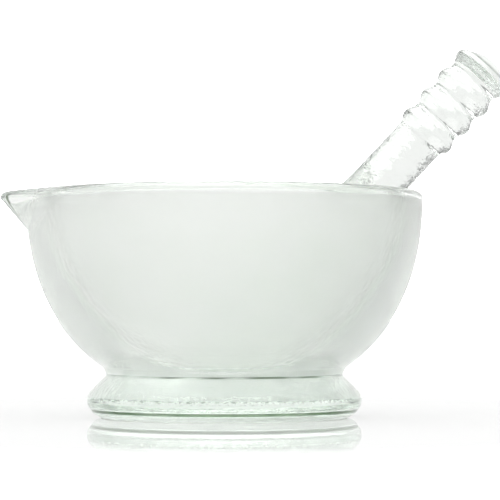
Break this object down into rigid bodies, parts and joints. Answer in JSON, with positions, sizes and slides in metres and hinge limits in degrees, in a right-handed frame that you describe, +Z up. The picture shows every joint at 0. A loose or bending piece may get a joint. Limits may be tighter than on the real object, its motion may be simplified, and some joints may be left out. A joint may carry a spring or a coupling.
{
  "type": "mortar and pestle",
  "caption": "Laboratory mortar and pestle of pressed glass: a footed round bowl with a ground inside and a pouring spout, and a ribbed pestle that rests in it and lifts out.",
  "frame": {"origin": "centre of the mortar's flat underside, on the surface it stands on", "axes": "+Z up along the mortar's axis, +X away from the spout towards the pestle's grip, +Y to the back"},
  "size_m": [0.1535, 0.12, 0.1115],
  "materials": {
    "mortar_glass": "pressed soda-lime glass, clear outside and rim, inside of the bowl ground to a matt white",
    "pestle_glass": "pressed soda-lime glass, clear ribbed grip and wrinkled shaft, grinding head ground to a matt white"
  },
  "bodies": {
    "mortar": {"mortar": "mortar_glass"},
    "pestle": {"pestle": "pestle_glass"}
  },
  "joints": [
    {"name": "pestle_lift", "type": "slide", "parent": "mortar", "child": "pestle", "axis": [0, 0, 1], "range_m": [0, 0.08]}
  ]
}
